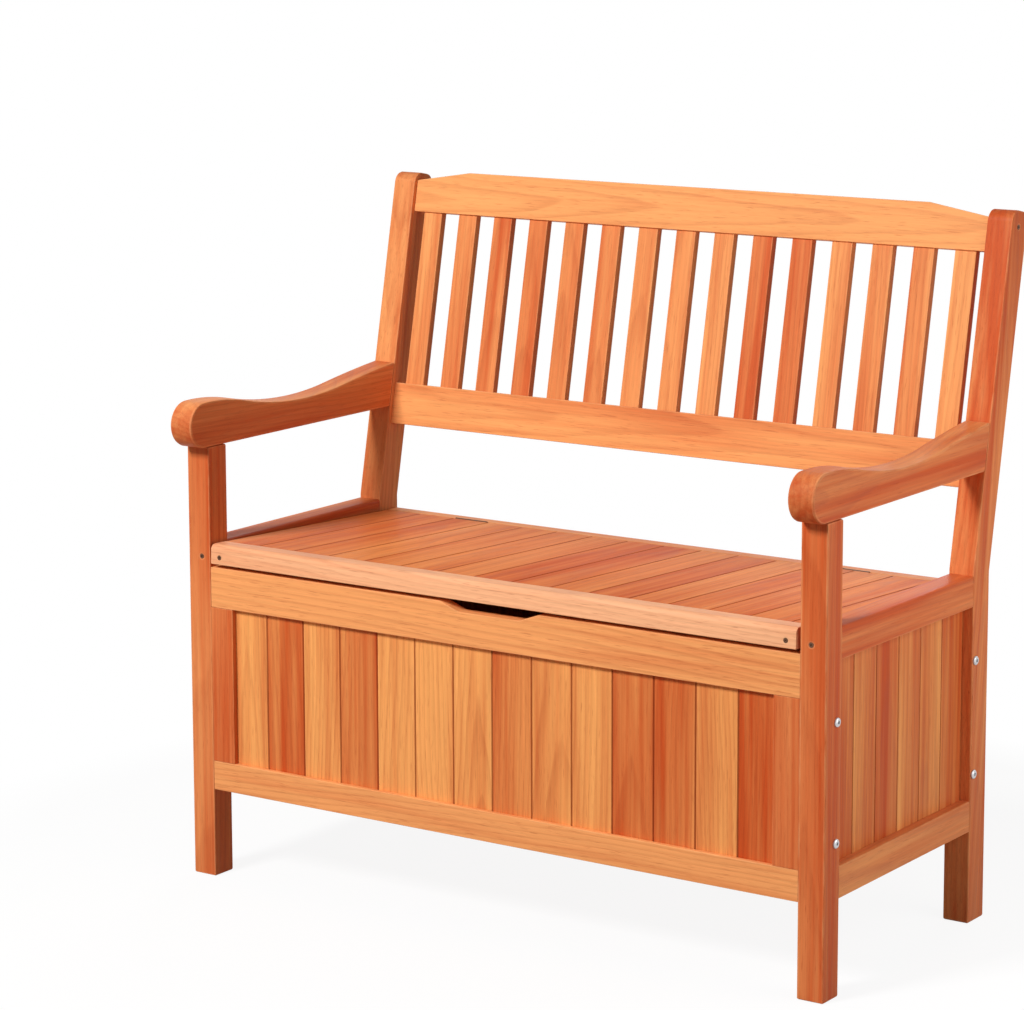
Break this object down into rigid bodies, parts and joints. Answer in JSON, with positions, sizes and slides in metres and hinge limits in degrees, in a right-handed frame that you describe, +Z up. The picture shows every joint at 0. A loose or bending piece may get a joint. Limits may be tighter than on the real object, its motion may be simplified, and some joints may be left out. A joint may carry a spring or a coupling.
{
  "type": "storage settle bench",
  "caption": "Wooden settle bench with a slatted back, curved arms and a boarded seat that lifts on hinges and gas stays over a boarded storage box.",
  "frame": {"origin": "centre of the bench's footprint, on the floor", "axes": "+X along the bench to its right as seen by a person facing its front, +Y from front to back, +Z up"},
  "size_m": [1.0166, 0.5661, 0.953],
  "materials": {
    "frame_wood": "oiled hardwood, satin",
    "board_wood": "oiled hardwood boards of mixed tone, satin",
    "seat_wood": "oiled hardwood, satin",
    "back_wood": "oiled hardwood, satin",
    "inner_wood": "oiled hardwood, matt",
    "dowel_wood": "plain beech",
    "bolt_steel": "zinc plated, bright",
    "zinc_steel": "zinc plated",
    "dark_steel": "dark plating, dulled",
    "bracket_steel": "zinc plated",
    "stay_tube": "grey paint, satin",
    "stay_rod": "polished",
    "liner": "black woven liner, matt"
  },
  "bodies": {
    "root": {"armrest_left": "frame_wood", "armrest_right": "frame_wood", "back_lower_rail": "back_wood", "back_slat_01": "back_wood", "back_slat_02": "back_wood", "back_slat_03": "back_wood", "back_slat_04": "back_wood", "back_slat_05": "back_wood", "back_slat_06": "back_wood", "back_slat_07": "back_wood", "back_slat_08": "back_wood", "back_slat_09": "back_wood", "back_slat_10": "back_wood", "back_slat_11": "back_wood", "back_slat_12": "back_wood", "back_slat_13": "back_wood", "back_slat_14": "back_wood", "back_slat_15": "back_wood", "back_top_rail": "back_wood", "corner_battens": "inner_wood", "dowels": "dowel_wood", "floor_bearers": "inner_wood", "floor_boards": "inner_wood", "frame_bolts": "bolt_steel", "frame_screws": "dark_steel", "front_boards": "board_wood", "front_leg_left": "frame_wood", "front_leg_right": "frame_wood", "front_lower_rail": "frame_wood", "front_stiles": "frame_wood", "front_upper_rail": "frame_wood", "hinge_frame_leaves": "dark_steel", "hinge_pins": "dark_steel", "rear_boards": "board_wood", "rear_leg_left": "frame_wood", "rear_leg_right": "frame_wood", "rear_lower_rail": "frame_wood", "rear_stiles": "frame_wood", "rear_upper_rail": "frame_wood", "seat_cleats": "inner_wood", "side_boards_left": "board_wood", "side_boards_right": "board_wood", "side_lower_rail_left": "frame_wood", "side_lower_rail_right": "frame_wood", "side_upper_rail_left": "frame_wood", "side_upper_rail_right": "frame_wood", "stay_box_brackets": "bracket_steel", "threaded_sleeves": "zinc_steel"},
    "seat": {"seat_nosing": "seat_wood", "seat_boards": "seat_wood", "seat_edge_strips": "inner_wood", "seat_battens": "inner_wood", "seat_liner": "liner", "hinge_seat_leaves": "dark_steel", "stay_seat_brackets": "bracket_steel", "nosing_screws": "dark_steel"},
    "stay_tube_left": {"stay_tube_left": "stay_tube"},
    "stay_tube_right": {"stay_tube_right": "stay_tube"},
    "stay_rod_left": {"stay_rod_left": "stay_rod"},
    "stay_rod_right": {"stay_rod_right": "stay_rod"}
  },
  "joints": [
    {"name": "seat_hinge", "type": "hinge", "parent": "root", "child": "seat", "pos_m": [0, 0.16139, 0.4567], "axis": [-1, 0, 0], "range_deg": [0, 91]},
    {"name": "stay_tube_left_turn", "type": "hinge", "parent": "root", "child": "stay_tube_left", "pos_m": [-0.433, -0.13861, 0.4147], "axis": [1, 0, 0], "range_deg": [0, 28.8]},
    {"name": "stay_rod_left_slide", "type": "slide", "parent": "stay_tube_left", "child": "stay_rod_left", "axis": [0, 1, 0], "range_m": [0, 0.09639]},
    {"name": "stay_tube_right_turn", "type": "hinge", "parent": "root", "child": "stay_tube_right", "pos_m": [0.433, -0.13861, 0.4147], "axis": [1, 0, 0], "range_deg": [0, 28.8]},
    {"name": "stay_rod_right_slide", "type": "slide", "parent": "stay_tube_right", "child": "stay_rod_right", "axis": [0, 1, 0], "range_m": [0, 0.09639]}
  ],
  "couplings": [
    {"joint": "stay_tube_left_turn", "follows": "seat_hinge", "ratio": 0.31633},
    {"joint": "stay_rod_left_slide", "follows": "seat_hinge", "m_per_rad": 0.060681},
    {"joint": "stay_tube_right_turn", "follows": "seat_hinge", "ratio": 0.31633},
    {"joint": "stay_rod_right_slide", "follows": "seat_hinge", "m_per_rad": 0.060681}
  ]
}
